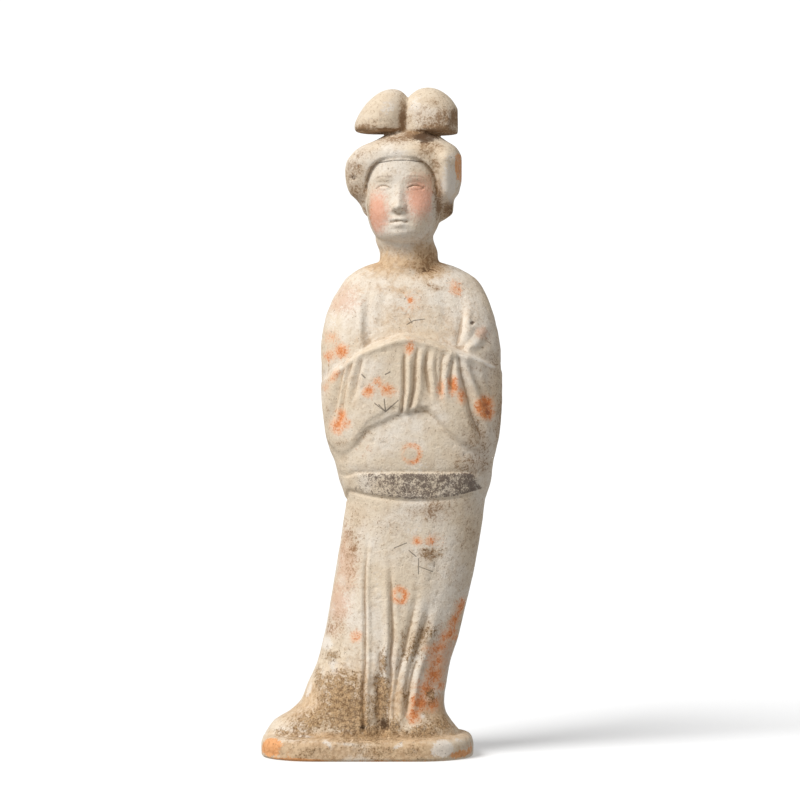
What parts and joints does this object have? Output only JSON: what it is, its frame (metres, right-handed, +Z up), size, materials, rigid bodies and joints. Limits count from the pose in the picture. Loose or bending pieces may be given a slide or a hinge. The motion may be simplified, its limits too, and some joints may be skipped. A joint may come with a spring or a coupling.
{
  "type": "standing court lady figure",
  "caption": "Standing court lady in painted terracotta, hands joined inside long draped sleeves, belt at the hips, rolled hair with a lobed knot, on a thin base slab.",
  "frame": {"origin": "middle of the underside of the base slab", "axes": "+Z upwards through the standing figure, front and face towards -Y, the figure's own left towards +X"},
  "size_m": [0.1367, 0.078, 0.38],
  "materials": {
    "painted_terracotta": "unglazed fired clay with worn white slip, traces of orange, black and pink pigment and burial earth, matt"
  },
  "bodies": {
    "root": {"court_lady_figure": "painted_terracotta"}
  },
  "joints": []
}
